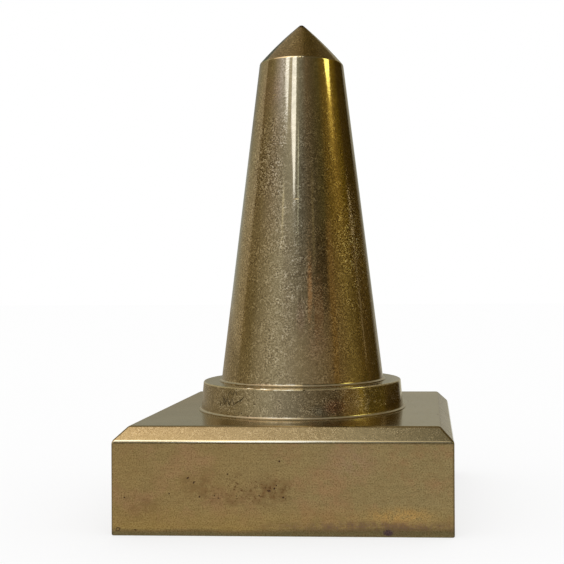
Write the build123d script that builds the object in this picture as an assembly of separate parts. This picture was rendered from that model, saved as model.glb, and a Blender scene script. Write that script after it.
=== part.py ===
from build123d import *
from math import ceil, radians, tan
import os

# A solid brass obelisk for a desk.  A tapering round shaft with a conical point stands on a low
# round collar, and the collar stands on a square block.  A spigot under the shaft passes through
# the collar into a socket in the block, and one screw from below draws the three together.
# Millimetres and degrees, +Z up, origin at the centre of the face that the block stands on.

# Block
base_width = 101.6
base_height = 32.0
base_chamfer = 4.1  # each leg of the 45 degree chamfer round the top face
base_edge_round = 0.6  # every outside edge is worn to this

# Collar
collar_height = 9.5
collar_top_radius = 33.7
collar_draft = 5.0  # lean of the collar's wall
collar_edge_round = 0.5

# Shaft and its point
shaft_foot_radius = 27.7
shaft_rim_radius = 14.4
shaft_length = 108.2  # from the collar to the rim, where the point begins
rim_round = 1.1
point_length = 13.9
point_bulge = 0.37  # how far the point's flank swells past a straight cone
point_land_radius = 0.6  # the blunt end
point_land_round = 0.4

# What the nose of the lathe tool leaves round the foot of the collar and of the shaft
nose_radius = 0.8
foot_lip = 0.2

# Spigot, and the socket and bores that it seats in
spigot_diameter = 16.0
socket_depth = 6.0
spigot_end_gap = 0.2
locating_clearance = 0.05  # radial
mouth_chamfer = 0.6
spigot_chamfer = 0.8

# Socket head screw, and the holes that it goes through
screw_diameter = 8.0
screw_engagement = 16.0  # least length of thread in the shaft
screw_length_step = 5.0  # such screws are sold in lengths this far apart
screw_end_chamfer = 1.0
screw_head_diameter = 13.0
screw_head_height = 8.0
screw_head_round = 0.8
screw_hex_size = 6.0  # across flats
screw_hex_depth = 4.0
head_recess = 1.0  # how far the head stays clear of the desk
head_clearance = 1.0  # radial
shank_clearance = 0.5  # radial
thread_clearance = 0.05  # radial
tap_run_out = 4.0  # tapped hole past the end of the screw
drill_point_angle = 118.0

# Levels and radii that pieces share
block_top = base_height
collar_top = block_top + collar_height
rim_level = collar_top + shaft_length
tip_level = rim_level + point_length
socket_floor = block_top - socket_depth
spigot_end = socket_floor + spigot_end_gap
head_seat = head_recess + screw_head_height
locating_radius = spigot_diameter / 2 + locating_clearance
screw_reach = spigot_end + screw_engagement - head_seat
screw_length = screw_length_step * ceil(screw_reach / screw_length_step)
screw_end = head_seat + screw_length

FOOT = (Align.CENTER, Align.CENTER, Align.MIN)


def half_section(edges):
    """The closed face, right of the axis, that a turned piece is revolved from."""
    return Plane.XZ * make_face(edges)


def softened(face, radius, level, amount):
    """Round the corner of a half-section nearest to a radius and level."""
    corner = face.vertices().sort_by_distance((radius, 0, level))[0]
    return fillet(corner, amount)


def rod(radius, low, high):
    """An upright cylinder on the axis."""
    return Pos(0, 0, low) * Cylinder(radius, high - low, align=FOOT)


def broken_mouth(radius, level, opens_up):
    """The cone that takes the sharp mouth off a bore."""
    wide = radius + mouth_chamfer
    if opens_up:
        return Pos(0, 0, level - mouth_chamfer) * Cone(radius, wide, mouth_chamfer, align=FOOT)
    return Pos(0, 0, level) * Cone(wide, radius, mouth_chamfer, align=FOOT)


def lathe_foot(wall_radius, level):
    """Corners of the small foot at a turned wall: the lip's two corners, then the wall's."""
    lip_radius = wall_radius + nose_radius
    return [(lip_radius, level), (lip_radius, level + foot_lip), (wall_radius, level + foot_lip)]


def make_block():
    """Square block, chamfered round the top, with a socket above and a counterbore below."""
    block = Box(base_width, base_width, base_height, align=FOOT)
    block = chamfer(block.edges().group_by(Axis.Z)[-1], base_chamfer)
    block = fillet(block.edges(), base_edge_round)
    block -= rod(locating_radius, socket_floor, block_top)
    block -= broken_mouth(locating_radius, block_top, opens_up=True)
    block -= rod(screw_diameter / 2 + shank_clearance, 0, block_top)
    counterbore_radius = screw_head_diameter / 2 + head_clearance
    block -= rod(counterbore_radius, 0, head_seat)
    block -= broken_mouth(counterbore_radius, 0, opens_up=False)
    return block


def make_collar():
    """Turned ring whose wall leans in towards the top and sweeps out at its foot."""
    foot_radius = collar_top_radius + collar_height * tan(radians(collar_draft))
    foot = lathe_foot(foot_radius, block_top)
    outline = Polyline(
        (locating_radius, block_top),
        *foot,
        (collar_top_radius, collar_top),
        (locating_radius, collar_top),
        close=True,
    )
    face = half_section(outline)
    face = softened(face, *foot[-1], nose_radius)
    face = softened(face, collar_top_radius, collar_top, collar_edge_round)
    collar = revolve(face, Axis.Z)
    collar -= broken_mouth(locating_radius, collar_top, opens_up=True)
    collar -= broken_mouth(locating_radius, block_top, opens_up=False)
    return collar


def make_shaft():
    """Tapering shaft, its swelling point and its spigot, turned in one piece."""
    foot = lathe_foot(shaft_foot_radius, collar_top)
    spigot_radius = spigot_diameter / 2
    rim = (shaft_rim_radius, rim_level)
    land = (point_land_radius, tip_level)
    outline = Polyline(
        land,
        (0, tip_level),
        (0, spigot_end),
        (spigot_radius, spigot_end),
        (spigot_radius, collar_top),
        *foot,
        rim,
    )
    outline += SagittaArc(land, rim, point_bulge)
    face = half_section(outline)
    face = softened(face, *foot[-1], nose_radius)
    face = softened(face, *rim, rim_round)
    face = softened(face, *land, point_land_round)
    shaft = revolve(face, Axis.Z)
    shaft = chamfer(shaft.edges().group_by(Axis.Z)[0], spigot_chamfer)
    tap_radius = screw_diameter / 2 + thread_clearance
    tap_end = screw_end + tap_run_out
    shaft -= rod(tap_radius, spigot_end, tap_end)
    drill_point = tap_radius / tan(radians(drill_point_angle / 2))
    shaft -= Pos(0, 0, tap_end) * Cone(tap_radius, 0, drill_point, align=FOOT)
    return shaft


def make_screw():
    """Socket head screw, head down in the counterbore and thread up in the shaft."""
    head = rod(screw_head_diameter / 2, head_recess, head_seat)
    head = fillet(head.edges().group_by(Axis.Z)[0], screw_head_round)
    shank = rod(screw_diameter / 2, head_seat, screw_end)
    shank = chamfer(shank.edges().group_by(Axis.Z)[-1], screw_end_chamfer)
    hexagon = RegularPolygon(screw_hex_size / 2, 6, major_radius=False)
    socket = Pos(0, 0, head_recess) * extrude(hexagon, screw_hex_depth)
    return head + shank - socket


nodes = {
    "base_block": make_block(),
    "collar": make_collar(),
    "shaft": make_shaft(),
    "fixing_screw": make_screw(),
}

os.makedirs("parts", exist_ok=True)
for name, solid in nodes.items():
    export_step(solid, f"parts/{name}.step")
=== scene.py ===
import math

import bmesh
import bpy
from mathutils import Euler, Matrix, Vector


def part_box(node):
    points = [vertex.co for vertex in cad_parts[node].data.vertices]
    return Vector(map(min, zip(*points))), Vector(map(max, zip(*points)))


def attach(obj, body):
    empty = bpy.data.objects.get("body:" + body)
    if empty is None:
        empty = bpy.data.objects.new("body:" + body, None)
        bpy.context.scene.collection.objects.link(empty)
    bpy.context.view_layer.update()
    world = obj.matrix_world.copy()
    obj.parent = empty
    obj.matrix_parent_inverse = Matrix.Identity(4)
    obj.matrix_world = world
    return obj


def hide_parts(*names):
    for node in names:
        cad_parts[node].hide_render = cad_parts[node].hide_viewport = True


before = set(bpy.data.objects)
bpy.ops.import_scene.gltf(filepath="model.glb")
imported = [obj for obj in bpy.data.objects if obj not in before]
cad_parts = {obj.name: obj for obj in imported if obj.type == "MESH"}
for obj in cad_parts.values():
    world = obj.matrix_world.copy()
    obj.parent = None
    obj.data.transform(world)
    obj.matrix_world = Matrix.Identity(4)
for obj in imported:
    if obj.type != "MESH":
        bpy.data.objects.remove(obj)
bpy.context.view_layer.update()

# ---------------------------------------------------------------------------------------------
# The block.  A square of cast brass, ground flat, with a broad chamfer round its top and every
# edge worn round.  A stepped hole down the middle takes the screw from below and the shaft's
# spigot from above.
# ---------------------------------------------------------------------------------------------
MM = 0.001
hair = 0.01 * MM  # two places closer than this count as one
block_low, block_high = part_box("base_block")
block_width = block_high.x - block_low.x
block_top = block_high.z
block_front = block_low.y
block_chamfer = 4.1 * MM
block_edge_round = 0.6 * MM
socket_radius = 8.05 * MM
socket_depth = 6.0 * MM
socket_floor = block_top - socket_depth
shank_hole_radius = 4.5 * MM
counterbore_radius = 7.5 * MM
counterbore_depth = 9.0 * MM
mouth_chamfer = 0.6 * MM
turning_steps = 256

# What the block's faces are finished with, as places in its list of materials
GROUND, SPECKLED, SATIN, PIT, WORN = range(5)


def turned(corners, rounds=(), steps=turning_steps):
    """Spin a chain of corners, each a radius and a level, once round the upright axis.

    Each round gives a corner's place in the chain, its radius and the angle that the wall turns.
    """
    bm = bmesh.new()
    verts = [bm.verts.new((radius, 0, level)) for radius, level in corners]
    for first, second in zip(verts, verts[1:]):
        bm.edges.new((first, second))
    for place, size, turn in rounds:
        cut_back = size * math.tan(math.radians(turn) / 2)
        bmesh.ops.bevel(bm, geom=[verts[place]], offset=cut_back, offset_type="OFFSET", segments=6,
                        profile=0.5, affect="VERTICES", material=-1)
    bmesh.ops.spin(bm, geom=bm.verts[:] + bm.edges[:], cent=(0, 0, 0), axis=(0, 0, 1),
                   angle=math.tau, steps=steps, use_merge=True)
    bmesh.ops.remove_doubles(bm, verts=bm.verts, dist=0.001 * MM)
    return bm


def add_object(name, bm):
    """Put a finished bmesh in the scene as an object at the origin."""
    mesh = bpy.data.meshes.new(name)
    bm.to_mesh(mesh)
    bm.free()
    made = bpy.data.objects.new(name, mesh)
    bpy.context.scene.collection.objects.link(made)
    return made


def cut_away(bm, cutter):
    """Take one closed mesh out of another, and return what is left."""
    solid = add_object("solid", bm)
    tool = add_object("tool", cutter)
    cut = solid.modifiers.new("cut", "BOOLEAN")
    cut.object = tool
    cut.use_self = True
    result = bmesh.new()
    result.from_object(solid, bpy.context.evaluated_depsgraph_get())
    for spent in (solid, tool):
        bpy.data.objects.remove(spent)
    # A cut can leave slivers with no area
    bmesh.ops.dissolve_degenerate(result, dist=0.0002 * MM, edges=result.edges)
    return result


def hollowed(bm, hollows, finish):
    """Take small hollows out of a solid.  Each has a centre, three half sizes, a lean and a bearing."""
    cutter = bmesh.new()
    for centre, half_sizes, lean, bearing in hollows:
        turn = Euler((0, math.radians(lean), math.radians(bearing))).to_quaternion()
        bmesh.ops.create_icosphere(cutter, subdivisions=2, radius=1,
                                   matrix=Matrix.LocRotScale(centre, turn, half_sizes))
    for face in cutter.faces:
        face.material_index = finish
    return cut_away(bm, cutter)


def finish_piece(name, bm, node_name, materials):
    """Turn a finished bmesh into a piece that stands for one node of the frame."""
    sharpest_smooth_edge = math.radians(35)
    bmesh.ops.recalc_face_normals(bm, faces=bm.faces)
    for face in bm.faces:
        face.smooth = True
    piece = add_object(name, bm)
    piece.data.set_sharp_from_angle(angle=sharpest_smooth_edge)
    weighted = piece.modifiers.new("even_shading", "WEIGHTED_NORMAL")
    weighted.keep_sharp = True
    weighted.weight = 80
    for material in materials:
        piece.data.materials.append(material)
    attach(piece, "root")
    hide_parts(node_name)


# The stepped hole first, then the square round it, and both joined by the flats above and below
bm = turned([(socket_radius + mouth_chamfer, block_top), (socket_radius, block_top - mouth_chamfer),
             (socket_radius, socket_floor), (shank_hole_radius, socket_floor),
             (shank_hole_radius, counterbore_depth), (counterbore_radius, counterbore_depth),
             (counterbore_radius, mouth_chamfer), (counterbore_radius + mouth_chamfer, 0)])
hole_mouths = [edge for edge in bm.edges if edge.is_boundary]
body = bmesh.ops.create_cube(bm, size=1)["verts"]
bmesh.ops.scale(bm, verts=body, vec=(block_width, block_width, block_top))
bmesh.ops.translate(bm, verts=body, vec=(0, 0, block_top / 2))
body_edges = {edge for vert in body for edge in vert.link_edges}
top_edges = [edge for edge in body_edges if all(v.co.z > block_top / 2 for v in edge.verts)]
bmesh.ops.bevel(bm, geom=top_edges, offset=block_chamfer, offset_type="OFFSET", segments=1,
                profile=0.5, affect="EDGES", material=-1)
outside = [edge for edge in bm.edges if max(abs(v.co.x) for v in edge.verts) > 2 * socket_radius]
bmesh.ops.bevel(bm, geom=outside, offset=block_edge_round, offset_type="OFFSET", segments=5,
                profile=0.5, affect="EDGES", material=-1)
for level in (0, block_top):
    flat = max((f for f in bm.faces if all(abs(v.co.z - level) < hair for v in f.verts)),
               key=lambda f: f.calc_area())
    outline = flat.edges[:]
    bmesh.ops.delete(bm, geom=[flat], context="FACES_ONLY")
    mouth = [e for e in hole_mouths if abs(e.verts[0].co.z - level) < hair]
    bmesh.ops.triangle_fill(bm, use_beauty=True, edges=outline + mouth)
bmesh.ops.recalc_face_normals(bm, faces=bm.faces)
# The top is satin, the chamfer and the underside are speckled, and the edge below the chamfer is
# worn bright.  The rest is ground.
for face in bm.faces:
    if face.normal.z > 0.9:
        face.material_index = SATIN
    elif face.normal.z > 0.68 or face.normal.z < -0.9:
        face.material_index = SPECKLED
    elif face.normal.z > 0.3 and face.calc_center_median().z > block_top / 2:
        face.material_index = WORN

# Blow holes that the grinding opened in the front face: place along X and Z, half width, half
# height, and lean in degrees
blow_holes = [(-46.8, 11.4, 0.25, 0.22, 0), (-33.4, 12.6, 0.22, 0.25, 0),
              (-27.8, 17.2, 0.45, 0.25, -40), (-26.0, 15.9, 0.45, 0.22, -55),
              (-24.3, 11.7, 0.25, 0.3, 0), (-16.0, 18.4, 0.2, 0.25, 0),
              (-6.6, 12.2, 0.22, 0.2, 0), (-3.7, 13.5, 0.6, 0.32, 10), (-2.1, 14.2, 0.3, 0.35, 20),
              (-0.6, 22.2, 0.3, 0.32, 0), (0.5, 11.6, 0.32, 0.28, 0), (-19.9, 12.0, 0.25, 0.15, 20),
              (-18.7, 11.3, 0.3, 0.14, -15), (-13.4, 11.9, 0.16, 0.14, 0), (-1.5, 15.1, 0.18, 0.22, 0),
              (-4.8, 14.4, 0.2, 0.16, 0), (-43.5, 1.8, 0.55, 0.13, 12), (1.2, 11.2, 0.16, 0.16, 0)]
blow_hole_depth = 0.3 * MM
hollows = [((x * MM, block_front, z * MM), (wide * MM, blow_hole_depth, tall * MM), lean, 0)
           for x, z, wide, tall, lean in blow_holes]
# A few more, round and shallow, in the top: place along X and Y
top_holes = [(38.7, -1.9), (35.9, 15.1), (46.2, -20.5), (-41, 30), (-30, 44), (12, 45)]
hollows += [((x * MM, y * MM, block_top), (0.3 * MM, 0.3 * MM, 0.2 * MM), 0, 0) for x, y in top_holes]
bm = hollowed(bm, hollows, PIT)

# Two light scratches that cross near the right end of the front face
crossed = [((40.2 * MM, block_front, 14.2 * MM), (1.3 * MM, 0.04 * MM, 0.09 * MM), 4, 0),
           ((40.4 * MM, block_front, 13.6 * MM), (1.1 * MM, 0.04 * MM, 0.09 * MM), 58, 0)]
bm = hollowed(bm, crossed, GROUND)


def feed(tree, socket, value):
    """Link a shader socket to another one, or set it to a number, a vector or a colour."""
    if isinstance(value, bpy.types.NodeSocket):
        tree.links.new(value, socket)
    elif socket.type == "RGBA":
        socket.default_value = (*value, 1)
    else:
        socket.default_value = value


def node(tree, kind, sockets=None, **settings):
    """Add a shader node, with its sockets fed by name or place."""
    made = tree.nodes.new("ShaderNode" + kind)
    for name, value in settings.items():
        setattr(made, name, value)
    for name, value in (sockets or {}).items():
        feed(tree, made.inputs[name], value)
    return made


def object_place(tree):
    """The place of a point on the piece, in metres."""
    return node(tree, "TexCoord").outputs["Object"]


def noise(tree, place, size, detail=2.0, rough=0.5, stretch=None):
    """Cloudy noise whose lumps are about one size across."""
    if stretch:
        place = node(tree, "Mapping", {"Vector": place, "Scale": stretch}).outputs[0]
    sockets = {"Vector": place, "Scale": 1 / size, "Detail": detail, "Roughness": rough}
    return node(tree, "TexNoise", sockets).outputs["Fac"]


def spread(tree, value, low, high, first=0.0, last=1.0, kind="LINEAR"):
    """Map a value's stretch from low to high on to another stretch, and hold it there."""
    sockets = {"Value": value, "From Min": low, "From Max": high, "To Min": first, "To Max": last}
    return node(tree, "MapRange", sockets, interpolation_type=kind).outputs[0]


def calc(tree, operation, first, second=0.0, clamp=False):
    """One sum on two values."""
    return node(tree, "Math", {0: first, 1: second}, operation=operation, use_clamp=clamp).outputs[0]


def mixed(tree, share, first, second):
    """Two colours mixed, the second by the share given and the first by the rest."""
    return node(tree, "Mix", {0: share, 6: first, 7: second}, data_type="RGBA").outputs[2]


def shaded(tree, colour, amount):
    """A colour made lighter or darker by a value round one."""
    return node(tree, "VectorMath", {0: colour, "Scale": amount}, operation="SCALE").outputs[0]


def product(tree, first, second):
    """Two colours or two vectors, multiplied part by part."""
    return node(tree, "VectorMath", {0: first, 1: second}, operation="MULTIPLY").outputs[0]


def spot(tree, place, centre, reach, soft=0.3):
    """One inside a lump round a point, falling to nothing at its reach along each axis."""
    away = node(tree, "VectorMath", {0: place, 1: [c * MM for c in centre]}, operation="SUBTRACT")
    near = product(tree, away.outputs[0], [1 / (r * MM) for r in reach])
    length = node(tree, "VectorMath", {0: near}, operation="LENGTH").outputs["Value"]
    return spread(tree, length, 1.0 - soft, 1.0, 1.0, 0.0, "SMOOTHSTEP")


def new_material(name):
    """A material, its tree and the shader that it starts with."""
    made = bpy.data.materials.new(name)
    made.use_nodes = True
    return made, made.node_tree, made.node_tree.nodes["Principled BSDF"]


def coat(tree, shader, colour, roughness, metallic, edge_tint=(1, 1, 1)):
    """Give a shader its colour, its roughness and how metallic it is."""
    feed(tree, shader.inputs["Base Color"], colour)
    feed(tree, shader.inputs["Roughness"], roughness)
    feed(tree, shader.inputs["Metallic"], metallic)
    feed(tree, shader.inputs["Specular Tint"], edge_tint)


def bumped(tree, shader, height, depth):
    """Give a shader a bump as deep as the height's full swing."""
    bump = node(tree, "Bump", {"Height": height, "Distance": depth, "Strength": 1.0})
    feed(tree, shader.inputs["Normal"], bump.outputs[0])


def on_front(tree, place, x, level, reach, soft):
    """A spot on the block's front face."""
    return spot(tree, place, (x, block_front / MM, level), reach, soft)


# Stains on the front: place along X and Z, reach, colour and strength
front_stains = [(35, 5.9, (14, 6, 4.2), (0.48, 0.29, 0.09), 1.3),
                (28, 2.9, (44, 6, 2.8), (0.155, 0.095, 0.06), 1.6),
                (-3.5, 13.4, (10, 6, 6.5), (0.15, 0.08, 0.03), 1.2),
                (-24, 15, (9, 6, 7), (0.17, 0.095, 0.035), 0.8),
                (-16, 11.5, (12, 6, 4), (0.19, 0.105, 0.045), 0.9),
                (20, 22, (12, 6, 8), (0.33, 0.22, 0.13), 0.7),
                (-42, 9, (9, 6, 7), (0.15, 0.085, 0.03), 0.6)]


def ground_brass():
    """Old ground brass on the block's sides: brown to olive clouds, stains low down and painted shade."""
    made, tree, shader = new_material("ground_brass")
    place = object_place(tree)
    parts = node(tree, "SeparateXYZ", {0: place})
    rightward, level = parts.outputs["X"], parts.outputs["Z"]
    cloud = spread(tree, noise(tree, place, 24 * MM, 4, 0.55), 0.35, 0.65)
    warm = spread(tree, noise(tree, place, 9 * MM, 5, 0.7), 0.48, 0.66, 0, 0.8)
    mottle = noise(tree, place, 2.0 * MM, 3, 0.65)
    grain = noise(tree, place, 0.42 * MM, 2, 0.7)
    grinding = noise(tree, place, 4 * MM, 3, 0.7, (1, 1, 9))

    # Brown on the left and olive on the right, with warm patches, and yellower low down
    side = calc(tree, "ADD", rightward, calc(tree, "MULTIPLY", cloud, 0.03))
    side = spread(tree, side, -0.03, 0.055)
    colour = mixed(tree, side, (0.27, 0.185, 0.07), (0.285, 0.22, 0.1))
    colour = mixed(tree, calc(tree, "MULTIPLY", cloud, 0.6), colour, (0.25, 0.18, 0.072))
    colour = mixed(tree, warm, colour, (0.3, 0.185, 0.085))
    low = spread(tree, level, 10 * MM, 2 * MM, 0, 0.5)
    colour = mixed(tree, low, colour, (0.3, 0.2, 0.055))
    for x, z, reach, tint, strength in front_stains:
        broken = calc(tree, "MULTIPLY", spread(tree, mottle, 0.36, 0.62, 0.15, 1.0),
                      spread(tree, grain, 0.42, 0.58, 0.3, strength))
        patch = calc(tree, "MULTIPLY", on_front(tree, place, x, z, reach, 0.9), broken, clamp=True)
        colour = mixed(tree, patch, colour, tint)

    # Painted shade, the floor's mirrored shadow, in a wandering band along the foot, with a thin line over
    # it
    wander = calc(tree, "MULTIPLY", calc(tree, "SUBTRACT", cloud, 0.5), 0.5 * MM)
    wander = calc(tree, "ADD", wander, spread(tree, rightward, -0.01, 0.04, 0, 0.7 * MM))
    height = calc(tree, "SUBTRACT", level, wander)
    foot = spread(tree, height, 2.7 * MM, 0.9 * MM, 0, 0.85, "SMOOTHSTEP")
    colour = mixed(tree, foot, colour, (0.12, 0.098, 0.045))
    foot_shade_line = calc(tree, "MULTIPLY", spread(tree, height, 2.2 * MM, 1.7 * MM, 0, 0.3),
                     spread(tree, height, 1.1 * MM, 1.5 * MM))
    colour = mixed(tree, foot_shade_line, colour, (0.17, 0.1, 0.045))

    # Painted shade close under the chamfer, on the lower part of the edge's round, thinner to the right
    under_chamfer_shade = calc(tree, "ADD", level, calc(tree, "MULTIPLY", mottle, 0.5 * MM))
    under_chamfer_shade = spread(tree, under_chamfer_shade, 27.4 * MM, 27.7 * MM, 0, 1, "SMOOTHSTEP")
    under_chamfer_shade = calc(tree, "MULTIPLY", under_chamfer_shade, spread(tree, rightward, -0.02, 0.01, 0.95, 0.6))
    colour = mixed(tree, under_chamfer_shade, colour, (0.1, 0.075, 0.03))

    # A dark drop and a small ring, near the two ends of the foot
    drop = on_front(tree, place, 31.3, 1.4, (2.0, 2, 1.3), 0.6)
    colour = mixed(tree, drop, colour, (0.07, 0.045, 0.045))
    ring = calc(tree, "SUBTRACT", on_front(tree, place, -48.7, 2.0, (0.78, 2, 0.78), 0.3),
                on_front(tree, place, -48.7, 2.0, (0.42, 2, 0.42), 0.3), clamp=True)
    colour = mixed(tree, ring, colour, (0.1, 0.065, 0.03))

    # Painted shade down the rounded upright corners
    across = calc(tree, "ABSOLUTE", rightward)
    along = calc(tree, "ABSOLUTE", parts.outputs["Y"])
    upright = spread(tree, calc(tree, "MINIMUM", across, along), 50.1 * MM, 50.6 * MM, 0, 0.75)
    colour = mixed(tree, upright, colour, (0.09, 0.07, 0.035))

    # Dark specks everywhere, thicker where the blow holes are, and a brown cast between grains
    specks = calc(tree, "ADD", grain, calc(tree, "MULTIPLY", mottle, 0.5))
    colour = mixed(tree, spread(tree, specks, 0.82, 0.96, 0, 0.6), colour, (0.15, 0.085, 0.03))
    peppered = calc(tree, "MULTIPLY", on_front(tree, place, -9, 13.5, (22, 6, 8), 0.9),
                    spread(tree, noise(tree, place, 0.7 * MM, 2, 0.7), 0.58, 0.66, 0, 0.9))
    colour = mixed(tree, peppered, colour, (0.1, 0.045, 0.016))
    brown = product(tree, colour, (0.66, 0.58, 0.48))
    colour = mixed(tree, spread(tree, grain, 0.56, 0.3), colour, brown)
    tone = calc(tree, "ADD", spread(tree, mottle, 0.3, 0.7, 1.0, 1.1),
                spread(tree, grain, 0.4, 0.72, 0, 0.3))
    tone = calc(tree, "ADD", tone, spread(tree, grinding, 0.3, 0.7, -0.12, 0.12))
    coat(tree, shader, shaded(tree, colour, tone), spread(tree, mottle, 0.3, 0.7, 0.34, 0.44), 0.95)
    bumped(tree, shader, calc(tree, "ADD", grain, grinding), 0.012 * MM)
    return made


def speckled_brass(name, bright, dull, roughness, strength, relief, grain_size, stains=(),
                   regions=(), clean=None):
    """Polished brass gone dull in fine speckles, with cloudy tarnish.

    Each stain has a centre, a reach, a colour and a strength.  Each region has a centre, a reach
    and how thick the speckle is there.  Up from clean's first level to its second, it thins out.
    """
    made, tree, shader = new_material(name)
    place = object_place(tree)
    cloud = spread(tree, noise(tree, place, 16 * MM, 4, 0.55), 0.35, 0.68)
    mottle = noise(tree, place, 2.4 * MM, 3, 0.65)
    grain = noise(tree, place, grain_size, 2, 0.8)
    drift = calc(tree, "MULTIPLY", calc(tree, "SUBTRACT", cloud, 0.5), 0.16)
    lumps = calc(tree, "ADD", mottle, drift)
    cover = spread(tree, lumps, 0.36, 0.6, 0.35, 1.0)
    for centre, reach, thickness in regions:
        inside = spot(tree, place, centre, reach, 0.8)
        cover = calc(tree, "MULTIPLY", cover, spread(tree, inside, 0, 1, 1, thickness))
    if clean:
        low, high = clean
        level = node(tree, "SeparateXYZ", {0: place}).outputs["Z"]
        below = spread(tree, level, low, high, 1.0, 0.45)
        above = spread(tree, level, high + 0.6 * MM, high + 1.2 * MM, 0, 0.7)
        cover = calc(tree, "MULTIPLY", cover, calc(tree, "MAXIMUM", below, above))
    dark = calc(tree, "MULTIPLY", spread(tree, grain, 0.5, 0.6), cover)
    light = calc(tree, "MULTIPLY", spread(tree, grain, 0.48, 0.38), cover)
    colour = mixed(tree, cloud, bright, dull)
    for centre, reach, tint, share in stains:
        patch = calc(tree, "MULTIPLY", spot(tree, place, centre, reach, 0.8),
                     spread(tree, mottle, 0.3, 0.55, share / 3, share))
        colour = mixed(tree, patch, colour, tint)
    colour = mixed(tree, calc(tree, "MULTIPLY", dark, strength), colour, (0.15, 0.105, 0.05))
    colour = mixed(tree, calc(tree, "MULTIPLY", light, 0.5 * strength), colour, (0.66, 0.57, 0.4))
    tone = calc(tree, "ADD", spread(tree, lumps, 0.3, 0.7, 1 - 0.16 * strength, 1 + 0.12 * strength),
                calc(tree, "MULTIPLY", light, 0.35 * strength))
    dullness = calc(tree, "ADD", spread(tree, cloud, 0, 1, roughness, roughness + 0.03),
                    calc(tree, "MULTIPLY", light, 0.14 * strength))
    coat(tree, shader, shaded(tree, colour, tone), dullness, 0.98)
    bumped(tree, shader, calc(tree, "MULTIPLY", grain, calc(tree, "MULTIPLY", cover, cover)), relief)
    return made


def satin_brass():
    """Evenly dulled brass on the level faces, greyer and softer than the turned walls."""
    made, tree, shader = new_material("satin_brass")
    place = object_place(tree)
    cloud = spread(tree, noise(tree, place, 18 * MM, 3), 0.35, 0.65)
    mottle = noise(tree, place, 2.0 * MM, 3, 0.6)
    colour = mixed(tree, cloud, (0.48, 0.4, 0.235), (0.54, 0.45, 0.27))
    colour = shaded(tree, colour, spread(tree, mottle, 0.3, 0.7, 0.92, 1.06))
    coat(tree, shader, colour, spread(tree, mottle, 0.3, 0.7, 0.15, 0.22), 1.0, (0.96, 0.93, 0.88))
    bumped(tree, shader, noise(tree, place, 0.8 * MM), 0.002 * MM)
    return made


def worn_brass(name, roughness=0.07, metallic=0.8, right_end_shade=1.0):
    """Brass kept bright by handling, on edges that stand proud.  Painted shade may darken it to the right.
    """
    made, tree, shader = new_material(name)
    place = object_place(tree)
    colour = mixed(tree, noise(tree, place, 3 * MM, 3), (0.56, 0.45, 0.24), (0.66, 0.54, 0.31))
    rightward = node(tree, "SeparateXYZ", {0: place}).outputs["X"]
    # Painted shade: darker towards the right end
    colour = shaded(tree, colour, spread(tree, rightward, -15 * MM, 40 * MM, 1.0, right_end_shade))
    dullness = spread(tree, noise(tree, place, 0.8 * MM), 0.3, 0.7, roughness, 2 * roughness)
    coat(tree, shader, colour, dullness, metallic)
    return made


def grime(name, darkest, lightest):
    """Dark dirt and oxide left in the hollows."""
    made, tree, shader = new_material(name)
    dirt = noise(tree, object_place(tree), 0.4 * MM)
    coat(tree, shader, mixed(tree, dirt, darkest, lightest), 0.7, 0.0, (0.3, 0.3, 0.3))
    bumped(tree, shader, dirt, 0.02 * MM)
    return made


satin = satin_brass()
chamfer_brass = speckled_brass("chamfer_brass", bright=(0.44, 0.34, 0.165), dull=(0.4, 0.3, 0.14),
                               roughness=0.2, strength=0.55, relief=0.006 * MM, grain_size=0.36 * MM)
pit_dirt = grime("pit_dirt", (0.07, 0.032, 0.012), (0.13, 0.07, 0.03))
# The block's worn edge, with painted shade darkening it to the right
edge_brass = worn_brass("edge_brass", right_end_shade=0.35)
finish_piece("cast_block", bm, "base_block",
             [ground_brass(), chamfer_brass, satin, pit_dirt, edge_brass])

# ---------------------------------------------------------------------------------------------
# The collar.  A low ring of brass turned with its wall leaning in, a small sweep left by the
# nose of the tool at its foot, and a bore that slips over the shaft's spigot.
# ---------------------------------------------------------------------------------------------
collar_low, collar_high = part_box("collar")
collar_draft = 5.0  # degrees
collar_edge_round = 0.5 * MM
collar_top_radius = 33.7 * MM
nose_radius = 0.8 * MM
foot_lip = 0.2 * MM
lip_radius = collar_high.x
edge_reach = 1.5 * MM  # more than a round or a sweep takes up

# What the collar's faces are finished with, as places in its list of materials
WALL, TOP, SWEEP, EDGE, SCRATCH = range(5)

corners = [(socket_radius, collar_low.z + mouth_chamfer), (socket_radius + mouth_chamfer, collar_low.z),
           (lip_radius, collar_low.z), (lip_radius, collar_low.z + foot_lip),
           (lip_radius - nose_radius, collar_low.z + foot_lip), (collar_top_radius, collar_high.z),
           (socket_radius + mouth_chamfer, collar_high.z),
           (socket_radius, collar_high.z - mouth_chamfer), (socket_radius, collar_low.z + mouth_chamfer)]
bm = turned(corners, [(4, nose_radius, 90 - collar_draft), (5, collar_edge_round, 90 - collar_draft)])
bmesh.ops.recalc_face_normals(bm, faces=bm.faces)
# The top is satin, the sweep at the foot is dull, and the round of the top edge is rubbed bright
for face in bm.faces:
    level = face.calc_center_median().z
    if face.normal.z > 0.97 and level > collar_high.z - hair:
        face.material_index = TOP
    elif face.normal.z > 0.55 and level < collar_low.z + edge_reach:
        face.material_index = SWEEP
    elif face.normal.z > 0.12 and level > collar_high.z - edge_reach:
        face.material_index = EDGE


def at(distance, bearing, level):
    """A point at a bearing, in degrees to the right of straight ahead, and a height."""
    turn = math.radians(bearing)
    return Vector((distance * math.sin(turn), -distance * math.cos(turn), level))


def on_collar(bearing, level):
    """A point on the collar's leaning wall."""
    lean = math.tan(math.radians(collar_draft))
    return at(collar_top_radius + (collar_high.z - level * MM) * lean, bearing, level * MM)


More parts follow.
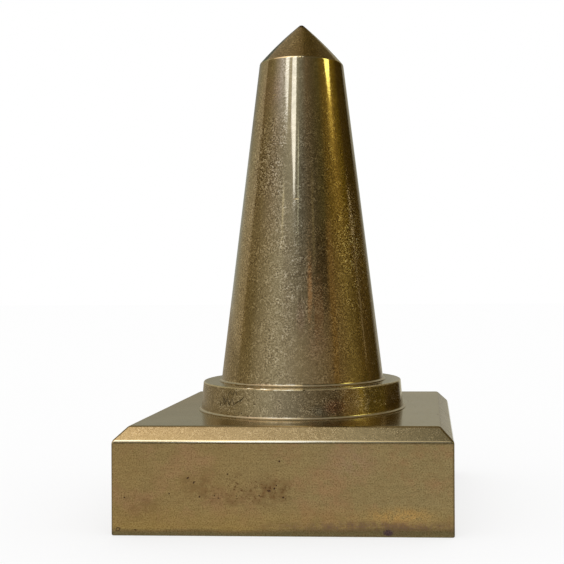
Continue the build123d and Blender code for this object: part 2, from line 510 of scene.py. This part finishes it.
# Short crossing scratches on the front left of the wall: bearing, level, half length, lean
scratches = [(-43.3, 35.9, 1.5, 0), (-40.6, 36.8, 1.7, -14), (-38.6, 36.9, 1.7, 25),
             (-36.9, 36.9, 1.9, -25), (-35.2, 36.6, 2.0, 28), (-33.2, 36.9, 1.8, -30),
             (-30.0, 37.0, 3.2, 56), (-27.2, 37.9, 1.9, 44), (-40, 37.4, 2.2, -40),
             (-36.8, 39.4, 1.0, 20), (-35.2, 39.7, 0.9, -30), (-33.2, 39.6, 1.0, 25),
             (-31.4, 39.8, 0.8, -25)]
hollows = [(on_collar(bearing, level), (0.19 * MM, 0.14 * MM, half_length * MM), lean, bearing)
           for bearing, level, half_length, lean in scratches]
# Dings in the wall and along its top edge: bearing, level, half width, half height
dings = [(7.8, 41.1, 0.45, 0.3), (-19, 36.5, 0.18, 0.14), (14, 36.2, 0.35, 0.3), (11, 34.8, 0.5, 0.2),
         (-27, 33.6, 0.25, 0.25), (18.5, 37.7, 0.2, 0.3)]
hollows += [(on_collar(bearing, level), (wide * MM, 0.2 * MM, tall * MM), 0, bearing)
            for bearing, level, wide, tall in dings]
bm = hollowed(bm, hollows, SCRATCH)
# Flats rubbed on the top edge, left of the front: bearing, half length, half height
for bearing, half_length, half_height in [(-12.5, 2.9, 0.72), (-21.5, 2.2, 0.55)]:
    half_sizes = (half_length * MM, 0.55 * MM, half_height * MM)
    bm = hollowed(bm, [(on_collar(bearing, 41.6), half_sizes, 0, bearing)], EDGE)


def corner_brass():
    """Dull pale brass in the narrow corners that a cloth doesn't reach."""
    made, tree, shader = new_material("corner_brass")
    dirt = noise(tree, object_place(tree), 1.2 * MM, 3, 0.6)
    coat(tree, shader, mixed(tree, dirt, (0.5, 0.42, 0.26), (0.68, 0.58, 0.38)), 0.33, 0.8)
    return made


collar_stains = [((-21, -26, 37), (6, 8, 3.5), (0.24, 0.18, 0.09), 0.6),
                 ((9.9, -32.5, 34.5), (5, 4, 3), (0.22, 0.2, 0.13), 0.8),
                 ((13.5, -30.8, 35.6), (5, 5, 3.4), (0.4, 0.2, 0.095), 0.85)]
collar_regions = [((28, -19, 37), (9, 11, 6), 1.2)]
collar_brass = speckled_brass("collar_brass", bright=(0.42, 0.325, 0.17), dull=(0.36, 0.275, 0.14),
                              roughness=0.13, strength=0.85, relief=0.02 * MM, grain_size=0.42 * MM,
                              stains=collar_stains, regions=collar_regions)
corner = corner_brass()
scratch_dirt = grime("scratch_dirt", (0.06, 0.04, 0.012), (0.12, 0.085, 0.035))
finish_piece("turned_collar", bm, "collar",
             [collar_brass, satin, corner, worn_brass("worn_brass"), scratch_dirt])

# ---------------------------------------------------------------------------------------------
# The shaft.  One brass turning: a long taper with a swelling point, and under it the spigot that
# locates it, drilled up the middle for the screw.
# ---------------------------------------------------------------------------------------------
shaft_low, shaft_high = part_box("shaft")
spigot_radius = 8.0 * MM
spigot_chamfer = 0.8 * MM
foot_radius = 27.7 * MM
foot_level = collar_high.z
rim_radius = 14.4 * MM
shaft_length = 108.2 * MM  # from the collar to the rim
rim_level = foot_level + shaft_length
rim_round = 1.1 * MM
point_swell = 0.37 * MM
flank_steps = 10
land_radius = 0.6 * MM
land_round = 0.4 * MM
tapped_radius = 4.05 * MM
tap_run_out = 4.0 * MM  # past the end of the screw
tapped_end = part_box("fixing_screw")[1].z + tap_run_out
drill_point_angle = 118.0
drill_point_height = tapped_radius / math.tan(math.radians(drill_point_angle / 2))

# What the shaft's faces are finished with, as places in its list of materials
TAPER, FOOT, RIM = range(3)

# The point's flank swells past the straight line from the rim to the land
rim = Vector((rim_radius, rim_level))
land = Vector((land_radius, shaft_high.z))
flank = land - rim
outward = Vector((flank.y, -flank.x)).normalized()
point = []
for step in range(1, flank_steps):
    share = step / flank_steps
    swell = point_swell * 4 * share * (1 - share)
    point.append(rim + flank * share + outward * swell)
corners = [(0, tapped_end + drill_point_height), (tapped_radius, tapped_end),
           (tapped_radius, shaft_low.z), (spigot_radius - spigot_chamfer, shaft_low.z),
           (spigot_radius, shaft_low.z + spigot_chamfer), (spigot_radius, foot_level),
           (foot_radius + nose_radius, foot_level), (foot_radius + nose_radius, foot_level + foot_lip),
           (foot_radius, foot_level + foot_lip), rim, *point, land, (0, shaft_high.z)]
taper = math.degrees(math.atan2(foot_radius - rim_radius, rim_level - foot_level))
down_the_taper = Vector((foot_radius, foot_level)) - rim
rim_turn = 180 - math.degrees(down_the_taper.angle(point[0] - rim))
bm = turned(corners, [(8, nose_radius, 90 - taper), (9, rim_round, rim_turn),
                      (len(corners) - 2, land_round, 45)])
bmesh.ops.recalc_face_normals(bm, faces=bm.faces)
# The sweep at the foot is dull, and the round of the rim is rubbed bright
for face in bm.faces:
    level = face.calc_center_median().z
    if face.normal.z > 0.55 and foot_level - 0.1 * MM < level < foot_level + edge_reach:
        face.material_index = FOOT
    elif 0.15 < face.normal.z < 0.66 and rim_level - edge_reach < level < rim_level + 0.35 * MM:
        face.material_index = RIM


def on_shaft(bearing, level):
    """A point on the taper."""
    share = (level * MM - foot_level) / (rim_level - foot_level)
    return at(foot_radius + (rim_radius - foot_radius) * share, bearing, level * MM)


# A knock across the taper, two on the rim, and a few fine dings: bearing, level, half width, half height
knocks = [(1.6, 101.9, 1.1, 0.22), (3, 149.6, 0.35, 0.3), (8, 149.7, 0.45, 0.3), (-27, 137, 0.9, 0.12),
          (-29, 136.2, 0.5, 0.1), (14, 83, 0.15, 0.2), (-11, 124, 0.2, 0.15), (33, 112, 0.18, 0.2)]
hollows = [(on_shaft(bearing, level), (wide * MM, 0.18 * MM, tall * MM), 0, bearing)
           for bearing, level, wide, tall in knocks]
bm = hollowed(bm, hollows, RIM)

shaft_stains = [((0, 0, 163.9), (3.0, 3.0, 2.3), (0.02, 0.012, 0.006), 4),
                ((0, 0, 157), (20, 20, 7.5), (0.47, 0.36, 0.14), 0.7),
                ((-12, -20, 69), (9, 9, 9), (0.34, 0.26, 0.12), 0.6),
                ((-8, -17, 112), (6, 8, 12), (0.36, 0.27, 0.13), 0.4),
                ((2.5, -24, 63), (2.2, 6, 9), (0.42, 0.25, 0.15), 0.5),
                ((8, -25, 55), (5, 6, 8), (0.43, 0.27, 0.16), 0.35),
                ((-8, -12, 138), (5, 8, 9), (0.46, 0.3, 0.2), 0.4)]
shaft_regions = [((-0.8, -18, 125), (3.4, 14, 55), 0.15), ((4, -26, 51), (10, 9, 11), 0.6),
                 ((19, -11, 82), (11, 14, 34), 2.1), ((-10, -14, 116), (8, 9, 17), 2.0),
                 ((0, 0, 157), (20, 20, 8), 1.7)]
shaft_brass = speckled_brass("shaft_brass", bright=(0.44, 0.34, 0.175), dull=(0.4, 0.3, 0.15),
                             roughness=0.06, strength=1.0, relief=0.012 * MM, grain_size=0.5 * MM,
                             stains=shaft_stains, regions=shaft_regions, clean=(110 * MM, 149 * MM))
rim_brass = worn_brass("rim_brass", roughness=0.08, metallic=1.0)
finish_piece("turned_shaft", bm, "shaft", [shaft_brass, corner, rim_brass])

# ---------------------------------------------------------------------------------------------
# The fixing screw.  A bought cap screw of blackened steel, rolled thread above and a knurled head
# below, driven up through the block with a hexagon key to draw the whole stack together.
# ---------------------------------------------------------------------------------------------
screw_low, screw_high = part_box("fixing_screw")
head_radius = 6.5 * MM
head_top = counterbore_depth
head_round = 0.8 * MM
knurl_depth = 0.14 * MM
thread_radius = 4.0 * MM
thread_pitch = 1.25 * MM
thread_depth = 0.75 * MM
plain_shank = 1.2 * MM
thread_start = head_top + plain_shank
crest_share = 0.125  # of the pitch
flank_share = 0.75  # of the pitch, both flanks together
screw_end_chamfer = 1.0 * MM
key_hole_across = 6.0 * MM
key_hole_depth = 4.0 * MM
screw_steps = 96
rings_per_turn = 8

corners = [(0, screw_low.z), (head_radius, screw_low.z), (head_radius, head_top), (thread_radius, head_top)]
ring = thread_start
while ring < screw_high.z - screw_end_chamfer:
    corners.append((thread_radius, ring))
    ring += thread_pitch / rings_per_turn
corners += [(thread_radius, screw_high.z - screw_end_chamfer),
            (thread_radius - screw_end_chamfer, screw_high.z), (0, screw_high.z)]
bm = turned(corners, [(1, head_round, 90)], screw_steps)
# The head's wall is pressed in for the knurl, and the shank's for the thread
for vert in bm.verts:
    radius = vert.co.xy.length
    turn = math.atan2(vert.co.y, vert.co.x) / math.tau
    if radius > head_radius - hair and vert.co.z < head_top - hair:
        rib = round(turn * screw_steps) % 2
        vert.co.xy *= 1 - rib * knurl_depth / radius
    elif radius > thread_radius - hair and vert.co.z > thread_start - hair:
        phase = (vert.co.z / thread_pitch - turn) % 1
        from_crest = abs(phase - 0.5) * 2
        share = min(1, max(0, (from_crest - crest_share) / flank_share))
        run_in = min(1, (vert.co.z - thread_start) / thread_pitch)
        vert.co.xy *= 1 - share * run_in * thread_depth / radius
bmesh.ops.recalc_face_normals(bm, faces=bm.faces)
key_hole_radius = key_hole_across / math.sqrt(3)
key_hole = bmesh.new()
bmesh.ops.create_cone(key_hole, cap_ends=True, segments=6, radius1=key_hole_radius,
                      radius2=key_hole_radius, depth=2 * key_hole_depth,
                      matrix=Matrix.Translation((0, 0, screw_low.z)))
bm = cut_away(bm, key_hole)


def black_steel():
    """Steel with a thin black oxide, rubbed lighter here and there."""
    made, tree, shader = new_material("black_steel")
    place = object_place(tree)
    rub = spread(tree, noise(tree, place, 1.5 * MM, 3, 0.6), 0.5, 0.7)
    colour = mixed(tree, rub, (0.05, 0.048, 0.045), (0.14, 0.135, 0.13))
    coat(tree, shader, colour, spread(tree, noise(tree, place, 0.6 * MM), 0.3, 0.7, 0.32, 0.48), 0.9)
    return made


finish_piece("cap_screw", bm, "fixing_screw", [black_steel()])

# ---------------------------------------------------------------------------------------------
# The studio.  A pale floor in a plain white room.  Round the object stand a painted backcloth, two
# windows, a lamp, a door's edge, strips of cloth and low boards, with a ceiling over them all.  They
# are self-lit cards that only the metal mirrors.
# ---------------------------------------------------------------------------------------------
floor_half = 3.0
floor_opening_half = 49.5 * MM
floor_drop = 0.02 * MM
floor_glow = 0.72


def seen_share(tree):
    """One for rays from the camera or a mirror, nothing for the light that falls on things."""
    path = node(tree, "LightPath")
    direct = calc(tree, "ADD", path.outputs["Is Camera Ray"], path.outputs["Is Glossy Ray"])
    return calc(tree, "ADD", direct, path.outputs["Is Transmission Ray"], clamp=True)


# The floor is open under the block, so that the block's underside shows from below
bm = bmesh.new()
bmesh.ops.create_grid(bm, x_segments=1, y_segments=1, size=floor_half,
                      matrix=Matrix.Translation((0, 0, -floor_drop)))
opening = bm.faces[:]
bmesh.ops.inset_region(bm, faces=opening, thickness=floor_half - floor_opening_half,
                       use_boundary=True, use_even_offset=True)
bmesh.ops.delete(bm, geom=opening, context="FACES")
floor = add_object("floor", bm)
pale, tree, shader = new_material("pale_floor")
feed(tree, shader.inputs["Base Color"], (0.96, 0.96, 0.96))
feed(tree, shader.inputs["Roughness"], 1.0)
feed(tree, shader.inputs["Specular IOR Level"], 0.0)
glow = node(tree, "Emission", {"Color": (1, 1, 1), "Strength": 1.0})
shown = calc(tree, "MULTIPLY", seen_share(tree), floor_glow)
blend = node(tree, "MixShader", {0: shown, 1: shader.outputs[0], 2: glow.outputs[0]})
feed(tree, tree.nodes["Material Output"].inputs["Surface"], blend.outputs[0])
floor.data.materials.append(pale)

world = bpy.data.worlds.new("studio")
bpy.context.scene.world = world
world.use_nodes = True
background = world.node_tree.nodes["Background"]
feed(world.node_tree, background.inputs["Color"], (1, 1, 1))
feed(world.node_tree, background.inputs["Strength"], 1.0)


def card(name, bm, colour):
    """A card that only the metal mirrors.  Its colour may be a function that paints a shader tree."""
    made = add_object(name, bm)
    made.visible_camera = False
    made.visible_diffuse = False
    made.visible_shadow = False
    material, tree, shader = new_material(name)
    tree.nodes.remove(shader)
    paint = colour(tree) if callable(colour) else colour
    glow = node(tree, "Emission", {"Color": paint, "Strength": 1.0})
    feed(tree, tree.nodes["Material Output"].inputs["Surface"], glow.outputs[0])
    made.data.materials.append(material)


def standing_card(distance, bearings, feet, top):
    """A card on edge, bent round the object between two bearings, with the height of its foot at each."""
    first, last = bearings
    bm = bmesh.new()
    ends = [bm.verts.new(at(distance, first, 0)), bm.verts.new(at(distance, first, top))]
    edge = bm.edges.new(ends)
    bmesh.ops.spin(bm, geom=ends + [edge], cent=(0, 0, 0), axis=(0, 0, 1),
                   angle=math.radians(last - first), steps=max(4, round((last - first) / 3)))
    if max(feet) > 0:
        # Trim it along the slant of its foot
        left_foot = at(distance, first, feet[0])
        right_foot = at(distance, last, feet[1])
        below = (right_foot - left_foot).cross(at(1, (first + last) / 2, 0))
        if below.z > 0:
            below.negate()
        bmesh.ops.bisect_plane(bm, geom=bm.verts[:] + bm.edges[:] + bm.faces[:], plane_co=left_foot,
                               plane_no=below, clear_outer=True)
    return bm


# The cloth's colour by bearing: near the floor, at half height, and high up
cloth_low = [(-172, (0.33, 0.34, 0.29)), (-150, (0.4, 0.42, 0.37)), (-130, (0.48, 0.46, 0.37)),
             (-99, (0.53, 0.47, 0.36)), (-96, (0.31, 0.255, 0.145)), (-77, (0.32, 0.28, 0.18)),
             (-55, (0.55, 0.54, 0.51)), (-30, (0.64, 0.67, 0.71)), (-10, (0.55, 0.56, 0.6)),
             (1, (0.48, 0.47, 0.46)), (19, (0.37, 0.34, 0.31)), (37, (0.32, 0.28, 0.22)),
             (52, (0.28, 0.21, 0.12)), (83, (0.285, 0.23, 0.085)), (104, (0.14, 0.1, 0.02)),
             (124, (0.12, 0.08, 0.018)), (146, (0.1, 0.07, 0.013)), (153, (0.22, 0.195, 0.14)),
             (162, (0.32, 0.315, 0.26)), (172, (0.43, 0.435, 0.38))]
cloth_middle = [(-172, (0.33, 0.33, 0.28)), (-150, (0.44, 0.45, 0.4)), (-130, (0.53, 0.5, 0.4)),
                (-99, (0.58, 0.54, 0.46)), (-96, (0.31, 0.27, 0.18)), (-77, (0.37, 0.33, 0.235)),
                (-55, (0.5, 0.49, 0.44)), (-30, (0.64, 0.68, 0.74)), (-20, (0.51, 0.53, 0.6)),
                (-10, (0.45, 0.48, 0.54)), (4, (0.3, 0.31, 0.34)), (19, (0.2, 0.185, 0.16)),
                (33, (0.09, 0.072, 0.043)), (47, (0.072, 0.052, 0.023)), (53, (0.22, 0.15, 0.055)),
                (83, (0.36, 0.29, 0.095)), (104, (0.19, 0.13, 0.03)), (124, (0.09, 0.06, 0.012)),
                (146, (0.065, 0.043, 0.006)), (153, (0.24, 0.225, 0.18)), (162, (0.34, 0.335, 0.28)),
                (172, (0.43, 0.435, 0.38))]
cloth_high = [(-172, (0.22, 0.22, 0.18)), (-150, (0.31, 0.315, 0.28)), (-130, (0.42, 0.41, 0.32)),
              (-116, (0.52, 0.5, 0.41)), (-99, (0.6, 0.56, 0.49)), (-96, (0.28, 0.23, 0.14)),
              (-77, (0.36, 0.32, 0.23)), (-55, (0.48, 0.46, 0.45)), (-30, (0.56, 0.6, 0.68)),
              (-12, (0.52, 0.57, 0.66)), (1, (0.26, 0.29, 0.34)), (19, (0.19, 0.175, 0.155)),
              (33, (0.126, 0.115, 0.078)), (49, (0.13, 0.115, 0.047)), (62, (0.22, 0.16, 0.034)),
              (83, (0.37, 0.265, 0.06)), (98, (0.2, 0.145, 0.012)), (113, (0.075, 0.048, 0.002)),
              (126, (0.062, 0.039, 0.001)), (146, (0.042, 0.028, 0.001)), (152, (0.34, 0.34, 0.29)),
              (172, (0.42, 0.41, 0.34))]
# How much lighter the cloth is at its top than below
top_lift = [(-180, (0.45, 0.5, 0.54)), (-130, (0.52, 0.61, 0.59)), (-105, (0.9, 0.94, 0.93)),
            (-75, (0.96, 0.98, 0.88)), (-48, (1.7, 1.85, 2.5)), (-22, (1.5, 1.5, 1.5)),
            (5, (1.35, 1.35, 1.3)), (20, (1.25, 1.15, 1.05)), (55, (1.1, 1.1, 1.0)),
            (105, (1.2, 1.15, 0.8)), (135, (1.2, 1.1, 0.75)), (180, (0.85, 0.85, 0.85))]


def ramp(tree, value, low, high, stops):
    """Colours laid out along a value, each at its own place between low and high."""
    made = node(tree, "ValToRGB", {0: spread(tree, value, low, high)})
    marks = made.color_ramp.elements
    while len(marks) < len(stops):
        marks.new(0.5)
    for mark, (place, colour) in zip(marks, stops):
        mark.position = (place - low) / (high - low)
        mark.color = (*colour, 1)
    return made.outputs[0]


def cloth_colour(tree):
    """Cloth that changes with its bearing from the object, and with height."""
    place = object_place(tree)
    parts = node(tree, "SeparateXYZ", {0: place})
    level = parts.outputs["Z"]
    forward = calc(tree, "MULTIPLY", parts.outputs["Y"], -1)
    bearing = calc(tree, "DEGREES", calc(tree, "ARCTAN2", parts.outputs["X"], forward))
    low, middle, high, lift = (ramp(tree, bearing, -180, 180, stops)
                               for stops in (cloth_low, cloth_middle, cloth_high, top_lift))
    near_floor = calc(tree, "MULTIPLY", spread(tree, level, 0.29, 0.18, 0, 1, "SMOOTHSTEP"),
                      spread(tree, level, 0.09, 0.14, 0, 1, "SMOOTHSTEP"))
    colour = mixed(tree, near_floor, middle, low)
    # The high colours come down lower at the sides than in front
    sideways = calc(tree, "ABSOLUTE", calc(tree, "SUBTRACT", bearing, 7.0))
    seen_level = calc(tree, "ADD", level, spread(tree, sideways, 45, 105, 0, 0.055))
    high_up = spread(tree, seen_level, 0.315, 0.345, 0, 1, "SMOOTHSTEP")
    colour = mixed(tree, high_up, colour, high)
    lamp_glow = spot(tree, place, (834, -150, 470), (120, 165, 105), 0.95)
    colour = mixed(tree, lamp_glow, colour, (0.9, 0.7, 0.18))
    return product(tree, colour, mixed(tree, spread(tree, level, 0.435, 0.52), (1, 1, 1), lift))


def lamp_colour(tree):
    """Lamplight that fades to gold at its foot."""
    level = node(tree, "SeparateXYZ", {0: object_place(tree)}).outputs["Z"]
    stops = [(0.43, (0.8, 0.62, 0.14)), (0.45, (1.7, 1.45, 0.42)), (0.485, (4.0, 4.1, 1.7))]
    return ramp(tree, level, 0.4, 0.6, stops)


cloth_distance = 0.85
window_distance = 0.8
board_distance = 0.3
daylight = (2.3, 2.75, 4.2)
# Each card's distance, its bearings, the height of its foot at each, its top and its colour.  The
# boards hide the white floor from the collar and from the foot of the shaft.
cards = [("backcloth", cloth_distance, (-180, 180), (0, 0), 0.75, cloth_colour),
         ("window_left", window_distance, (-37, -27), (0.5, 0.456), 1.45, daylight),
         ("window_right", window_distance, (-18, -7.3), (0.462, 0.352), 1.45, daylight),
         ("window_edge", window_distance, (-1.6, -0.6), (0.325, 0.325), 0.46, (1.3, 1.55, 1.9)),
         ("window_foot", window_distance, (-31.5, -28), (0.32, 0.32), 0.368, (1.25, 1.35, 1.45)),
         ("shelf_edge", window_distance, (25, 28.5), (0.29, 0.29), 0.4, (0.27, 0.25, 0.18)),
         ("red_strip", window_distance, (15.5, 22.5), (0.225, 0.25), 0.287, (0.6, 0.42, 0.31)),
         ("red_shade", window_distance, (25, 39), (0.205, 0.205), 0.258, (0.3, 0.22, 0.165)),
         ("lamp_left", window_distance, (72.5, 82), (0.5, 0.438), 0.8, lamp_colour),
         ("lamp_right", window_distance, (82, 89.5), (0.438, 0.5), 0.8, lamp_colour),
         ("lamp_foot", window_distance, (71, 78.5), (0, 0), 0.09, (0.48, 0.38, 0.065)),
         ("dark_foot", window_distance, (78.5, 112), (0, 0), 0.09, (0.1, 0.075, 0.01)),
         ("red_cloth", window_distance + 0.02, (52, 60), (0.1, 0.1), 0.33, (0.3, 0.21, 0.085)),
         ("door_edge_low", window_distance, (111, 112.5), (0.1, 0.1), 0.25, (0.5, 0.43, 0.3)),
         ("door_edge_high", window_distance, (109.8, 111.8), (0.25, 0.25), 0.285, (2.2, 2.1, 1.7)),
         ("board_left", board_distance, (-150, -95), (0, 0), 0.07, (0.39, 0.35, 0.265)),
         ("board_behind", board_distance, (-178, -150), (0, 0), 0.07, (0.325, 0.29, 0.22)),
         ("board_side", board_distance, (80, 108), (0, 0), 0.034, (0.2, 0.15, 0.02)),
         ("board_right", board_distance, (108, 152), (0, 0), 0.03, (0.045, 0.025, 0.002)),
         ("board_back_low", board_distance - 0.01, (153, 176), (0, 0), 0.024, (0.7, 0.68, 0.56)),
         ("board_back", board_distance, (152, 182), (0, 0), 0.07, (0.4, 0.39, 0.33))]
for name, distance, bearings, feet, top, colour in cards:
    card(name, standing_card(distance, bearings, feet, top), colour)

ceiling_height = 1.5
ceiling_half = 2.5
ceiling_span = (-0.5, 0.6)
# The ceiling's colour along X, in front of the object and behind it
over_front = [(-0.5, (1.5, 1.24, 1.2)), (-0.24, (0.92, 0.88, 0.87)), (0.02, (0.33, 0.37, 0.4)),
              (0.14, (0.1, 0.09, 0.07))]
over_back = [(-0.5, (0.38, 0.33, 0.25)), (-0.1, (0.29, 0.23, 0.14)), (0.0, (0.25, 0.2, 0.11)),
             (0.04, (0.17, 0.13, 0.055)), (0.3, (0.11, 0.08, 0.025)), (0.6, (0.14, 0.11, 0.05))]


def ceiling_colour(tree):
    """Light over the front left, dim over the right, and dark behind."""
    parts = node(tree, "SeparateXYZ", {0: object_place(tree)})
    front, back = (ramp(tree, parts.outputs["X"], *ceiling_span, stops)
                   for stops in (over_front, over_back))
    behind = spread(tree, parts.outputs["Y"], -0.14, 0.02, 0, 1, "SMOOTHSTEP")
    return mixed(tree, behind, front, back)


bm = bmesh.new()
bmesh.ops.create_grid(bm, x_segments=1, y_segments=1, size=ceiling_half,
                      matrix=Matrix.Translation((0, 0, ceiling_height)))
card("ceiling", bm, ceiling_colour)

# A skylight just under the ceiling, that carries the two windows on overhead
skylight_level = ceiling_height - 0.05
skylight_start, skylight_sweep = -60, 66
bm = bmesh.new()
ends = [bm.verts.new(at(distance, skylight_start, skylight_level)) for distance in (0.52, 1.6)]
bmesh.ops.spin(bm, geom=ends + [bm.edges.new(ends)], cent=(0, 0, 0), axis=(0, 0, 1),
               angle=math.radians(skylight_sweep), steps=12)
card("skylight", bm, (2.0, 1.9, 1.7))

# The camera stands in front and a little to the right, at about half the object's height
camera_data = bpy.data.cameras.new("camera")
camera = bpy.data.objects.new("camera", camera_data)
bpy.context.scene.collection.objects.link(camera)
camera_data.lens = 62.892
camera_data.shift_x = -0.1791
camera_data.shift_y = -0.0109
camera.location = (0.04332, -0.33894, 0.07479)
camera.rotation_euler = [math.radians(angle) for angle in (90.352, 0.265, 2.619)]
bpy.context.scene.camera = camera
bpy.context.scene.view_settings.view_transform = "Standard"
